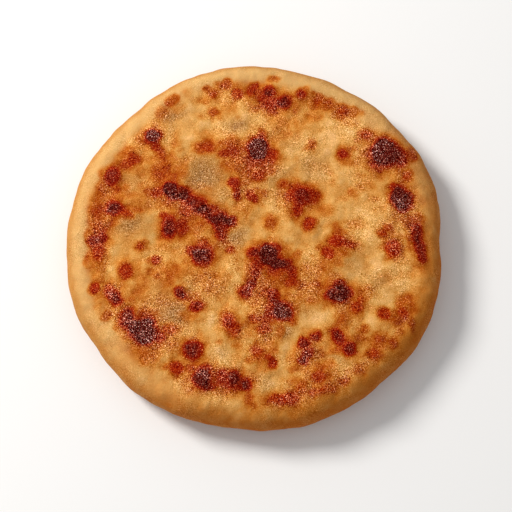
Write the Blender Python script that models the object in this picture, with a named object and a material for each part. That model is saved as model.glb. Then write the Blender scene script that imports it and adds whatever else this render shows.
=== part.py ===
"""A paratha: one thick, round flat bread, browned in a dry pan, lying on its flat underside.

A Blender 4.5 script. It works in metres with +Z up. The origin is the middle of the
bread's footprint, on the surface that it lies on.
"""

import math

import bmesh
import bpy
from mathutils import Vector, noise

# The bread's plain form
RADIUS = 0.0825
RIM_HEIGHT = 0.0198  # where the top begins to round over into the side
DOME_RISE = 0.0018  # how far the middle of the top stands above the rim
BELLY_HEIGHT = 0.0092  # the height of the widest line round the side
SHOULDER_WIDTH = 0.0100  # from the widest line in to where the top begins
HEEL_WIDTH = 0.0068  # from the widest line in to where the flat underside begins
SHOULDER_POWER = 2.15  # 2 is an ellipse, and more is squarer
HEEL_POWER = 2.1

# The hand-rolled outline: waves round the edge, height in metres, first crest in degrees
OUTLINE_WAVES = (
    (2, 0.0005, 22),
    (3, 0.0004, -37),
    (4, 0.0004, 32),
    (5, 0.0003, 29),
    (6, 0.0002, -26),
    (8, 0.0005, 17),
)

# Unevenness of the dough: the distance between swells, and how far they rise or sink
SWELL_SIZE = 0.030
SWELL_HEIGHT = 0.0009
LUMP_SIZE = 0.0125
LUMP_HEIGHT = 0.00075
RIPPLE_SIZE = 0.0062
RIPPLE_HEIGHT = 0.00030
FLAT_BELOW = 0.0040  # the unevenness fades out below this height, down to the flat underside

# Blisters that stand up where the crust browned most: x, y, half-width, rise, in millimetres
BLISTERS = (
    (57, 39, 9, 0.9),
    (63, 18, 6, 0.7),
    (6, 68, 6, 0.7),
    (11, 62, 6, 0.5),
    (-19, 64, 5, 0.4),
    (22, 67, 5, 0.4),
    (-45, 46, 6, 0.7),
    (0, 41, 8, 0.8),
    (-12, 41, 6, 0.4),
    (-62, 28, 6, 0.5),
    (-54, 37, 6, 0.4),
    (-35, 22, 8, 0.7),
    (-25, 15, 6, 0.6),
    (-15, 6, 7, 0.8),
    (-37, 7, 8, 0.6),
    (-61, 14, 6, 0.5),
    (20, 19, 8, 0.7),
    (-8, 23, 5, 0.5),
    (4, -7, 10, 1.0),
    (12, -12, 7, 0.7),
    (-23, -8, 6, 0.6),
    (59, -4, 6, 0.5),
    (36, -1, 6, 0.5),
    (35, -24, 8, 0.8),
    (44, -30, 6, 0.5),
    (11, -33, 7, 0.7),
    (-30, -24, 5, 0.4),
    (-25, -30, 5, 0.4),
    (-50, -40, 11, 0.9),
    (-55, -14, 6, 0.4),
    (-62, -25, 6, 0.4),
    (-10, -37, 6, 0.4),
    (-26, -49, 6, 0.7),
    (-22, -61, 7, 0.8),
    (-9, -62, 7, 0.7),
    (22, -51, 7, 0.7),
    (38, -46, 7, 0.6),
    (27, -61, 7, 0.5),
    (3, -52, 6, 0.4),
    (12, -69, 7, 0.4),
)

# Hollows where the dough stayed pale and sank: x, y, half-width, depth, in millimetres
HOLLOWS = (
    (-23, 28, 9, 0.7),
    (-34, 56, 9, 0.5),
    (-53, 24, 7, 0.5),
    (-7, -1, 7, 0.5),
    (29, 32, 9, 0.6),
    (44, 6, 9, 0.6),
    (14, 48, 8, 0.5),
    (-34, -8, 9, 0.5),
    (22, -35, 8, 0.6),
    (14, -45, 7, 0.5),
    (45, -11, 8, 0.5),
    (-38, -28, 9, 0.4),
    (-8, -49, 8, 0.5),
    (56, -20, 8, 0.4),
)

# Mesh
TOP_CELLS = 52  # across the top, both ways
EDGE_ROWS = 9  # down the side, from the top to the underside
SMOOTH_ANGLE = math.radians(50)

CRUST_COLOUR = (0.62, 0.36, 0.13, 1.0)
CRUST_ROUGHNESS = 0.62


def clear_scene():
    for thing in list(bpy.data.objects):
        bpy.data.objects.remove(thing, do_unlink=True)


def outline_radius(angle):
    """The distance from the middle to the widest line of the side, in this direction."""
    radius = RADIUS
    for count, height, crest in OUTLINE_WAVES:
        radius += height * math.cos(count * (angle - math.radians(crest)))
    return radius


def disc_place(u, v):
    """Where a point of the square from -1 to 1 lies on the unit disc: its radius and its angle."""
    if u == 0 and v == 0:
        return 0.0, 0.0
    if abs(u) > abs(v):
        return abs(u), math.pi / 4 * v / u + (math.pi if u < 0 else 0)
    return abs(v), math.pi / 2 - math.pi / 4 * u / v + (math.pi if v < 0 else 0)


def top_point(share, angle):
    """A point of the plain top: share is 0 in the middle and 1 where the side begins."""
    distance = share * (outline_radius(angle) - SHOULDER_WIDTH)
    height = RIM_HEIGHT + DOME_RISE * (1 - share**2)
    return Vector((distance * math.cos(angle), distance * math.sin(angle), height))


def edge_point(share, angle):
    """A point of the plain side: share is 0 at the top, 1 at the edge of the underside."""
    turn = math.pi * share
    across = math.sin(turn)
    up = math.cos(turn)
    if up > 0:
        power, width, drop = SHOULDER_POWER, SHOULDER_WIDTH, RIM_HEIGHT - BELLY_HEIGHT
    else:
        power, width, drop = HEEL_POWER, HEEL_WIDTH, BELLY_HEIGHT
    distance = outline_radius(angle) - width * (1 - across ** (2 / power))
    height = BELLY_HEIGHT + math.copysign(drop * abs(up) ** (2 / power), up)
    return Vector((distance * math.cos(angle), distance * math.sin(angle), height))


def mound(point, spots):
    """The sum of round, smooth-edged spots at this point, in metres."""
    total = 0.0
    for x, y, half_width, rise in spots:
        away = math.hypot(1000 * point.x - x, 1000 * point.y - y) / half_width
        if away < 1:
            total += rise / 1000 * (1 - away**2) ** 2
    return total


def relief(point):
    """How far the real surface stands out from the plain form at this point."""
    height = SWELL_HEIGHT * noise.noise(point / SWELL_SIZE)
    height += LUMP_HEIGHT * noise.noise(point / LUMP_SIZE)
    height += RIPPLE_HEIGHT * noise.noise(point / RIPPLE_SIZE)
    on_top = min(1.0, max(0.0, (point.z - BELLY_HEIGHT) / (RIM_HEIGHT - BELLY_HEIGHT)))
    height += on_top * (mound(point, BLISTERS) - mound(point, HOLLOWS))
    return height * min(1.0, point.z / FLAT_BELOW)


def shape_top(bread):
    bmesh.ops.create_grid(bread, x_segments=TOP_CELLS, y_segments=TOP_CELLS, size=1.0)
    for vertex in bread.verts:
        vertex.co = top_point(*disc_place(vertex.co.x, vertex.co.y))


def shape_edge(bread):
    """Draws the top's edge out and down in rows, and returns the last row's edges."""
    lip = [edge for edge in bread.edges if edge.is_boundary]
    for row in range(1, EDGE_ROWS + 1):
        drawn = bmesh.ops.extrude_edge_only(bread, edges=lip)["geom"]
        for vertex in (item for item in drawn if isinstance(item, bmesh.types.BMVert)):
            angle = math.atan2(vertex.co.y, vertex.co.x)
            vertex.co = edge_point(row / EDGE_ROWS, angle)
        lip = [item for item in drawn if isinstance(item, bmesh.types.BMEdge) and item.is_boundary]
    return lip


def raise_relief(bread):
    bread.normal_update()
    for vertex in bread.verts:
        vertex.co += vertex.normal * relief(vertex.co)


def centre_footprint(bread):
    """Moves the bread so that its box stands centred on the origin, at height 0."""
    low = [min(vertex.co[axis] for vertex in bread.verts) for axis in range(3)]
    high = [max(vertex.co[axis] for vertex in bread.verts) for axis in range(3)]
    move = Vector((-(low[0] + high[0]) / 2, -(low[1] + high[1]) / 2, -low[2]))
    bmesh.ops.translate(bread, verts=bread.verts, vec=move)


def crust_material():
    material = bpy.data.materials.new("baked_crust")
    material.use_nodes = True
    shader = material.node_tree.nodes["Principled BSDF"]
    shader.inputs["Base Color"].default_value = CRUST_COLOUR
    shader.inputs["Roughness"].default_value = CRUST_ROUGHNESS
    shader.inputs["Metallic"].default_value = 0.0
    return material


def make_paratha():
    bread = bmesh.new()
    shape_top(bread)
    underside = shape_edge(bread)
    raise_relief(bread)
    bmesh.ops.contextual_create(bread, geom=underside)
    bmesh.ops.recalc_face_normals(bread, faces=bread.faces)
    centre_footprint(bread)
    mesh = bpy.data.meshes.new("paratha")
    bread.to_mesh(mesh)
    bread.free()
    mesh.shade_smooth()
    mesh.set_sharp_from_angle(angle=SMOOTH_ANGLE)
    mesh.materials.append(crust_material())
    paratha = bpy.data.objects.new("paratha", mesh)
    bpy.context.scene.collection.objects.link(paratha)


clear_scene()
make_paratha()
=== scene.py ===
"""A thick round paratha, browned in a dry pan, on a pale table.

A Blender 4.5 script, in metres with +Z up. The bread is one closed skin: a fine grid pressed
into its plain form, pushed out by the lumps of the dough and coloured by how much it browned.
"""

import math
import random

import bmesh
import bpy
import numpy as np
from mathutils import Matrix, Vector, noise


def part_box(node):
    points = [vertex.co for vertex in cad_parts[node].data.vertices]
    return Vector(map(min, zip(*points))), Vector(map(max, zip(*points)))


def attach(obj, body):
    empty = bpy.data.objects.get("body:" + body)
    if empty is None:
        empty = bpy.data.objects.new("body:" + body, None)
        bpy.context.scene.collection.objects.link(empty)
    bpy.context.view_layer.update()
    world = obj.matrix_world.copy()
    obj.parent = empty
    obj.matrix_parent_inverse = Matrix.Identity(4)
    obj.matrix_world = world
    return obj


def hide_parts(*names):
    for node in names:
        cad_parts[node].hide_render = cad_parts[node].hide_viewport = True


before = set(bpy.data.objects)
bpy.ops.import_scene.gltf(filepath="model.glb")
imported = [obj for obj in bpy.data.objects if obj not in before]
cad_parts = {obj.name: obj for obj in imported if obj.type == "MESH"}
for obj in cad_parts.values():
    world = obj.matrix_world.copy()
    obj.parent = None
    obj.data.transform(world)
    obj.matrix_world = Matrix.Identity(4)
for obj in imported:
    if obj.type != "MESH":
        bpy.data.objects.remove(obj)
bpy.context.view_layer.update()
LOW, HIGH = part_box("paratha")

MM = 0.001

# The bread's plain form, in metres
RADIUS = 0.0825
RIM_HEIGHT = 0.0198  # where the top begins to round over into the side
DOME_RISE = 0.0018  # how far the middle of the top stands above the rim
BELLY_HEIGHT = 0.0092  # the height of the widest line round the side
SHOULDER_WIDTH = 0.0100  # from the widest line in to where the top begins
HEEL_WIDTH = 0.0068  # from the widest line in to where the flat underside begins
SHOULDER_POWER = 2.15  # 2 is an ellipse, and more is squarer
HEEL_POWER = 2.1

# The hand-rolled outline: waves round the edge, height in metres, first crest in degrees
OUTLINE_WAVES = (
    (2, 0.0005, 22),
    (3, 0.0004, -37),
    (4, 0.0004, 32),
    (5, 0.0003, 29),
    (6, 0.0002, -26),
    (8, 0.0005, 17),
)

# Unevenness of the dough: the distance between swells, and how far they rise or sink
SWELL_SIZE = 0.030
SWELL_HEIGHT = 0.0009
LUMP_SIZE = 0.0125
LUMP_HEIGHT = 0.00075
RIPPLE_SIZE = 0.0062
RIPPLE_HEIGHT = 0.00030
FLAT_BELOW = 0.0040  # it fades out below this height, down to the flat underside

# Large blisters: x, y, half-width, rise, in millimetres
BLISTERS = (
    (57, 39, 9, 0.9), (63, 18, 6, 0.7), (6, 68, 6, 0.7), (11, 62, 6, 0.5), (-19, 64, 5, 0.4),
    (22, 67, 5, 0.4), (-45, 46, 6, 0.7), (0, 41, 8, 0.8), (-12, 41, 6, 0.4), (-62, 28, 6, 0.5),
    (-54, 37, 6, 0.4), (-35, 22, 8, 0.7), (-25, 15, 6, 0.6), (-15, 6, 7, 0.8), (-37, 7, 8, 0.6),
    (-61, 14, 6, 0.5), (20, 19, 8, 0.7), (-8, 23, 5, 0.5), (4, -7, 10, 1.0), (12, -12, 7, 0.7),
    (-23, -8, 6, 0.6), (59, -4, 6, 0.5), (36, -1, 6, 0.5), (35, -24, 8, 0.8), (44, -30, 6, 0.5),
    (11, -33, 7, 0.7), (-30, -24, 5, 0.4), (-25, -30, 5, 0.4), (-50, -40, 11, 0.9),
    (-55, -14, 6, 0.4), (-62, -25, 6, 0.4), (-10, -37, 6, 0.4), (-26, -49, 6, 0.7),
    (-22, -61, 7, 0.8), (-9, -62, 7, 0.7), (22, -51, 7, 0.7), (38, -46, 7, 0.6),
    (27, -61, 7, 0.5), (3, -52, 6, 0.4), (12, -69, 7, 0.4),
)

# Pale hollows: x, y, half-width, depth, in millimetres
HOLLOWS = (
    (-23, 28, 9, 0.7), (-34, 56, 9, 0.5), (-53, 24, 7, 0.5), (-7, -1, 7, 0.5), (29, 32, 9, 0.6),
    (44, 6, 9, 0.6), (14, 48, 8, 0.5), (-34, -8, 9, 0.5), (22, -35, 8, 0.6), (14, -45, 7, 0.5),
    (45, -11, 8, 0.5), (-38, -28, 9, 0.4), (-8, -49, 8, 0.5), (56, -20, 8, 0.4),
)

# Browned spots of the top: x, y, half-length and half-width in millimetres, turn in degrees, and
# how browned the middle is, from 0 for pale dough to 1 for char
SPOTS_FAR_LEFT = (
    # along the far edge
    (-37.6, 63, 2.4, 2.4, 0, 0.50), (-41, 58, 3.4, 2.8, 0, 0.30), (-30, 67.4, 3, 2.4, 0, 0.26),
    (-35.4, 64.6, 2.2, 1.8, 0, 0.42), (-34, 59, 2.6, 2.4, 0, 0.26), (-21.4, 69, 2.2, 1.5, 0, 0.40),
    (-21, 63.4, 3.8, 1.3, 5, 0.32), (-16, 71.6, 3, 1.4, 0, 0.34), (-18.4, 66.4, 2.1, 2.2, 0, 0.58),
    (-14.8, 70, 2, 1.6, 0, 0.46), (-12.4, 71.2, 2.4, 2.8, 0, 0.54), (-8, 66.4, 2.9, 3.1, 0, 0.66),
    (-1.6, 67.8, 2.6, 3.2, 0, 0.62), (0.2, 70.2, 1.7, 1.7, 0, 0.66),
    (-18.5, 57.3, 2.1, 2, 0, 0.56), (-15.6, 54.4, 1.8, 1.1, -40, 0.28), (-11, 60, 3, 2.4, 0, 0.20),
    # along the left edge
    (-45, 46.2, 3.8, 3.5, 0, 0.94), (-43.4, 41.2, 2, 2.4, 0, 0.66), (-41, 37.6, 2.3, 2.8, 0, 0.58),
    (-36.4, 37, 2.4, 3, 0, 0.34), (-34.6, 42, 2.6, 3.4, 0, 0.28), (-2, 28, 2.4, 2, 0, 0.50),
    (-44.4, 23, 2.6, 1.6, 0, 0.42), (-51.6, 12.4, 2.6, 2, 0, 0.46), (-39, 33.4, 2.8, 2.8, 0, 0.50),
    (-41, 28.8, 4.6, 4.4, 0, 0.50), (-50.5, 45, 2.2, 2.4, 0, 0.36), (-53, 35.8, 3.3, 3.1, 0, 0.62),
    (-56, 34, 3.2, 2.8, 0, 0.56), (-55.2, 37.6, 2.6, 2.2, 0, 0.42),
    (-55.6, 40.8, 1.8, 1.4, 0, 0.36), (-59.5, 32, 2.2, 2, 0, 0.42),
    (-62.2, 28.2, 3.3, 4.6, 0, 0.80), (-66.4, 29.4, 2.2, 3, 0, 0.34),
    (-66.4, 22.5, 2.6, 3, 0, 0.44), (-60.6, 22, 2.3, 2.6, 0, 0.54), (-56.4, 23, 1.8, 1.8, 0, 0.34),
    (-59.4, 18, 3.6, 2.4, 0, 0.36), (-67, 19.4, 2.4, 2.4, 0, 0.42), (-68.6, 10, 3.4, 9, 0, 0.42),
    (-69, 12, 2.6, 4.8, 0, 0.44), (-61, 13.2, 4.1, 3.6, 0, 0.85),
    (-55.8, 10.8, 3.4, 1.8, -25, 0.60), (-60.5, 9.2, 2.6, 1.6, 0, 0.40),
    (-62, 6.6, 3.4, 2, 0, 0.38), (-68.4, 5, 2.6, 2.4, 0, 0.52), (-65.2, 3.4, 1.6, 1.6, 0, 0.54),
    (-69.8, -1.2, 2.9, 2.7, 0, 0.77), (-66, 0, 2.2, 3, 0, 0.74), (-62.4, -2.6, 1.8, 2.2, 0, 0.34),
    (-72, 2, 1.8, 2.6, 0, 0.36),
    # inside, on the left
    (-42.5, 20.5, 3.2, 3, 0, 0.64), (-46.5, 20.8, 2.4, 2, 0, 0.48), (-48, 16, 3.5, 2.6, 0, 0.24),
    (-37, 22, 3.4, 3.4, 0, 0.96), (-35.4, 18.4, 3, 1.9, 0, 0.80), (-31.4, 20, 3.3, 3.4, 0, 0.85),
    (-28, 17, 3.2, 2.9, -30, 0.78), (-24.4, 14.2, 4.6, 4, -35, 0.78),
    (-21.6, 11.4, 3.6, 3.2, -40, 0.76), (-18, 12.8, 3, 2.2, 0, 0.60),
    (-18.9, 8.3, 2.6, 2.6, 0, 0.78), (-14.8, 6.5, 4.6, 4.8, 0, 0.86),
    (-10.2, 7.2, 2.5, 2.8, 0, 0.80), (-14.8, 0.8, 2.7, 2.5, 0, 0.74),
    (-12.4, -2.4, 1.8, 1.4, 0, 0.35), (-21.8, 6, 3, 2.6, 0, 0.43), (-37.2, 4.5, 4, 5.7, 0, 0.84),
    (-39.6, 9.6, 2.2, 2.2, 0, 0.66), (-50, 30, 3, 3, 0, 0.28), (-48, 23, 4, 2, 0, 0.26),
    (-5, 12, 4, 3, 0, 0.24), (-31.5, 4.4, 2.9, 4.2, 0, 0.68), (-30, 11, 2.8, 2.4, 0, 0.58),
    (-27, 6, 2.4, 3, 0, 0.28), (-37.8, 15.8, 3, 2.6, 0, 0.48), (-19, 39.4, 2.2, 1.8, 0, 0.52),
    (-30.6, 15, 2.3, 2.4, 0, 0.60), (-9.8, 35.6, 2, 1.8, 0, 0.52), (-22, 41.4, 5.6, 3.2, 0, 0.57),
    (-14.5, 42.4, 2.6, 2, 0, 0.38), (-4.6, 40.6, 2.2, 3, 0, 0.52), (-10, 42, 3, 4, 0, 0.56),
    (-12.8, 37.8, 3.6, 2.1, 0, 0.62), (-9, 38.4, 2.6, 2.8, 0, 0.62),
    (-13.4, 33, 1.8, 2.4, 0, 0.38), (-6, 35, 3, 2.4, 0, 0.50), (-9.2, 24.3, 2.7, 2.8, 0, 0.74),
    (-8, 21.2, 1.8, 1.8, 0, 0.68), (-7.6, 18.4, 1.8, 2.4, 0, 0.72), (-6, 31.5, 6.5, 3.6, 0, 0.42),
    (1.6, 28.1, 3.6, 2.9, 0, 0.64), (-33, 33, 5, 3, 30, 0.26), (6, 29.8, 3, 2.4, 0, 0.50),
    (-53, 17, 5, 4, 0, 0.20), (-22, 22.5, 4, 2, -30, 0.25), (-32, 30, 3, 3, 0, 0.38),
    (-2, 20.4, 2.2, 1.6, 0, 0.56), (1, 20.4, 2.6, 1.8, 0, 0.38), (-46, 52, 2.5, 3, 0, 0.16),
)
SPOTS_FAR_RIGHT = (
    # along the far edge
    (6.2, 67.6, 2.8, 2.9, 0, 0.80), (3, 64.6, 2.2, 2.2, 0, 0.60), (3.6, 61.6, 2, 1.9, 0, 0.50),
    (22, 69, 2.4, 1.6, 0, 0.42), (42, 52, 3, 2, 0, 0.26), (15, 45.4, 3.4, 3, 0, 0.28),
    (7.3, 61.8, 3.7, 3.6, 0, 0.67), (12.6, 62, 3.5, 3.2, 0, 0.84), (14, 65, 2, 1.6, 0, 0.56),
    (8, 73.4, 2.9, 2.1, 0, 0.47), (7, 57.6, 3.3, 1.8, 0, 0.46), (16, 64, 1.8, 2, 0, 0.50),
    (21, 66, 2.8, 2.9, 0, 0.62), (21, 66.5, 1.8, 1.7, 0, 0.72), (25.6, 67, 1.8, 1.4, 0, 0.36),
    (28.2, 63.4, 3, 2.9, 0, 0.54), (25.4, 56, 4, 3, 0, 0.28), (6, 53.4, 3, 2.4, 0, 0.18),
    (18.2, 60, 1.8, 2.6, 0, 0.46), (8, 50, 2, 2, 0, 0.28), (42.8, 20.2, 1.8, 1.8, 0, 0.38),
    (50.2, 36.8, 1.7, 2.3, 0, 0.48), (33, 61.6, 2.9, 2.8, 0, 0.48),
    (26.4, 60.6, 2.4, 1.8, 0, 0.46), (30.6, 59.4, 2, 1.5, 0, 0.38), (36, 60.4, 2, 1.6, 0, 0.40),
    (39, 58, 3.2, 3.6, 0, 0.57), (43.6, 58.2, 2.4, 2.6, 0, 0.42), (47, 57.6, 2, 2, 0, 0.30),
    (53.6, 48, 2, 1.8, 0, 0.26),
    # inside, towards the far edge
    (1, 40.5, 4.8, 5.6, 0, 0.98), (3.1, 46.4, 2.7, 2.4, 0, 0.60), (7.4, 37, 3.5, 3.9, -20, 0.66),
    (2, 31.6, 5.2, 2.8, 0, 0.46), (24.9, 42.3, 1.9, 2, 0, 0.57), (22.9, 41, 1.4, 1.4, 0, 0.34),
    (15, 51, 5, 5, 0, 0.28), (38.2, 38.3, 2.6, 2.2, 0, 0.72), (38.6, 38, 3.7, 3.3, 0, 0.50),
    (41, 34, 2.6, 1.8, 0, 0.28), (43.2, 40.2, 1.8, 1.5, 0, 0.38), (48.8, 47.1, 3.6, 2.5, 0, 0.61),
    (45.6, 44.6, 2, 1.8, 0, 0.36),
    # along the right edge
    (56.9, 38.8, 6.4, 6.9, 0, 0.99), (64, 36.4, 3.2, 4.2, 0, 0.78), (52.4, 33, 2.3, 2.3, 0, 0.72),
    (54.4, 30.6, 2.2, 1.7, 0, 0.60), (68.8, 38.4, 3, 3.2, 0, 0.53),
    (66.6, 28.2, 2.6, 3.2, 0, 0.56), (62.6, 27.6, 2.6, 2.2, 0, 0.26), (48, 24, 6.5, 3.6, 0, 0.20),
    (62.6, 18.2, 4, 5, 0, 0.93), (66.4, 17.8, 2.6, 3.4, 0, 0.80), (64, 13.2, 3.4, 2.6, 0, 0.84),
    (60.8, 22.8, 2.8, 2.2, 0, 0.70), (51.5, 17.5, 1.7, 1.3, 0, 0.34), (70, 2, 2.6, 4.8, 0, 0.80),
    (67, 0, 2, 2.4, 0, 0.44), (67, 7, 2.6, 3.6, 0, 0.46), (66.6, 14.2, 2.4, 2.2, 0, 0.66),
    (71.2, 9, 2, 3.2, 0, 0.52), (62, 9.4, 3, 2, 0, 0.34), (64, 8.6, 1.8, 1.6, 0, 0.34),
    (60, 8, 2.4, 2, 0, 0.28), (59.6, 12, 1.8, 2, 0, 0.36), (55, 1.5, 2.4, 2.1, 0, 0.64),
    (57.4, 4.6, 2.1, 1.7, 0, 0.62),
    # inside, on the right
    (20.4, 18.4, 4.0, 4.6, 0, 0.81), (25.6, 18.6, 2.6, 3.8, 0, 0.64),
    (15.6, 18.6, 3.1, 3.6, 0, 0.62), (19.4, 22.8, 6, 2.1, -5, 0.56),
    (12.6, 23.8, 2.6, 2.2, 0, 0.57), (18.6, 13, 2.8, 3.4, 0, 0.68), (34, 27, 2, 3.6, 0, 0.22),
    (42, 6, 4, 2.4, 0, 0.24), (24.8, 3, 1.8, 1.4, 0, 0.38), (17.6, 10, 1.8, 2, 0, 0.44),
    (23.4, 6.1, 3.1, 3, 0, 0.70), (15, 14.6, 2, 2.2, 0, 0.40), (7, 6.8, 2.6, 3.2, 0, 0.50),
    (-1.2, 17.8, 3.3, 2, -30, 0.73), (3.5, 19.4, 2, 1.9, 0, 0.45), (35.6, 3, 2.1, 2.8, 0, 0.44),
    (62, 0, 2.2, 2.4, 0, 0.28), (30.6, 11.6, 3.8, 2.6, 20, 0.35), (37, 16, 2.4, 2, 0, 0.20),
)
SPOTS_NEAR_LEFT = (
    # along the left edge
    (-67.4, -6.2, 3.6, 4.4, 0, 0.66), (-66.6, -12.6, 2.6, 3.2, 0, 0.44),
    (-67, -18.4, 2.8, 2, 0, 0.38), (-72, -10, 2, 3.6, 0, 0.40), (-57, -11.4, 1.6, 1.6, 0, 0.46),
    (-68.6, -22.4, 2.6, 2.8, 0, 0.74), (-66, -19.6, 2.2, 1.8, 0, 0.44),
    (-62.6, -22.6, 2.6, 2.3, 0, 0.62), (-60.4, -26.2, 5, 3.2, -50, 0.80),
    (-67.2, -29.5, 2, 4, 0, 0.32), (-63.6, -34.2, 2.3, 2.2, 0, 0.46),
    (-55.4, -14.8, 3.2, 4, 0, 0.70),
    # the largest char, and the golden ground below it
    (-54.6, -35.8, 4, 4.8, 0, 0.80), (-47.4, -41.5, 6.8, 5.6, -20, 0.89),
    (-51.4, -39.4, 3, 2.6, 0, 0.82), (-45.5, -37.6, 3.4, 2.6, 0, 0.80),
    (-46, -45.6, 4.2, 2, 10, 0.80), (-46, -33.6, 4.6, 2.5, 0, 0.42),
    (-50, -49.6, 3.6, 1.8, -50, 0.30), (-45.6, -52.8, 4.4, 3, -15, 0.38),
    (-58.4, -39.4, 1.6, 2.2, 0, 0.38), (-36, -53.6, 2, 1.8, 0, 0.34),
    (-36.4, -40.6, 3.8, 2.6, 0, 0.60), (-37.5, -48, 4, 3.4, 0, 0.32),
    (-40.4, -44.2, 2.8, 2.4, 0, 0.70), (-41.6, -46.4, 3.4, 3.2, 0, 0.46),
    # inside, on the left
    (-49, -4, 2.3, 2.3, 0, 0.57), (-47.4, -2, 1.7, 1.5, 0, 0.40), (-42.6, -10.2, 2, 1.8, 0, 0.76),
    (-45, -10.5, 1.5, 1.2, 0, 0.38), (-45, -15.5, 2.1, 1.6, 0, 0.43), (-40, -3, 4, 2.6, 0, 0.24),
    (-36, -15, 4, 3, 0, 0.30), (-36, -17, 2.4, 3, 0, 0.42), (-52.5, -27.5, 1.8, 1.7, 0, 0.44),
    (-36, -20.6, 2.4, 2, 0, 0.42), (-42, -17, 2.4, 1.8, 0, 0.36), (-48, -22.5, 5, 5, 0, 0.30),
    (-57, -20.5, 3, 3.4, 0, 0.26), (-42, -27, 5, 3, 0, 0.24), (-37.6, -21.5, 2.8, 4, 0, 0.24),
    (-28, -20, 4, 3, 0, 0.16), (-21.5, -24, 3, 3, 0, 0.24), (-27, -34.6, 6, 2.8, 0, 0.36),
    (-16, -20, 4, 6, 0, 0.28), (-20.6, -12.6, 2.8, 1.6, 0, 0.54),
    (-29.6, -10.4, 2.8, 2.4, 0, 0.34), (-32, -25, 3.2, 2.4, -35, 0.82),
    (-28, -27.4, 1.9, 1.4, -40, 0.54), (-25, -30.8, 3.7, 2.7, 10, 0.84),
    (-25.4, -26.2, 2, 2, 0, 0.36), (-27.3, -5.7, 2.5, 2.5, 0, 0.76),
    (-24.3, -8.8, 2.9, 3.1, 0, 0.84), (-21.2, -8.6, 2.6, 3.4, 0, 0.82),
    (-22.5, -2.7, 2.9, 2.1, 0, 0.56), (-24, -5, 1.8, 1.8, 0, 0.56), (-24, -12.4, 2, 1.5, 0, 0.59),
    (-10.5, -5.6, 2.1, 1.7, 0, 0.60), (-22, -16, 4, 2.2, 0, 0.28), (-4.3, -24, 2.9, 3.1, 0, 0.80),
    (-1.8, -21, 2.8, 2.1, 60, 0.78), (0, -16, 2.2, 3, 0, 0.70), (-7, -48, 2.4, 2, 0, 0.34),
    (-10.4, -38.6, 6.2, 3.8, -60, 0.66), (-11.5, -38, 2.6, 3, 0, 0.70),
    (-8, -42.6, 2.6, 2.4, 0, 0.30), (-4.2, -38.4, 2, 1.6, 0, 0.44), (-15, -46, 1.7, 1.3, 0, 0.32),
    (8, -46, 2.4, 4, -20, 0.36), (10.4, -41.4, 2, 3.6, -10, 0.48),
    # along the near edge
    (-26, -49.6, 4.7, 4.4, 0, 0.86), (-33, -46, 3.2, 2.6, 0, 0.16),
    (-33.4, -57.2, 3.2, 3.3, 0, 0.74), (-37.4, -57, 1.5, 1.3, 0, 0.50),
    (-28, -57, 2.8, 2.3, 0, 0.52), (-21, -57.5, 3, 2.2, 0, 0.74),
    (-22.5, -61.6, 4.3, 4.6, 0, 0.87), (-20, -65, 3.5, 1.9, 0, 0.74),
    (-14, -60.6, 2.8, 3.2, 0, 0.70), (-14.6, -64, 2.6, 2, 0, 0.56), (-9, -61, 3, 3.4, 0, 0.82),
    (-7, -64.4, 5, 2.8, 0, 0.68), (-3.4, -63.8, 2.6, 3.2, 0, 0.82), (-12, -62, 11, 4.3, -8, 0.56),
    (-2.4, -70, 2.2, 3.2, 0, 0.50), (-0.6, -72.5, 1.6, 1.8, 0, 0.42),
)
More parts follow.
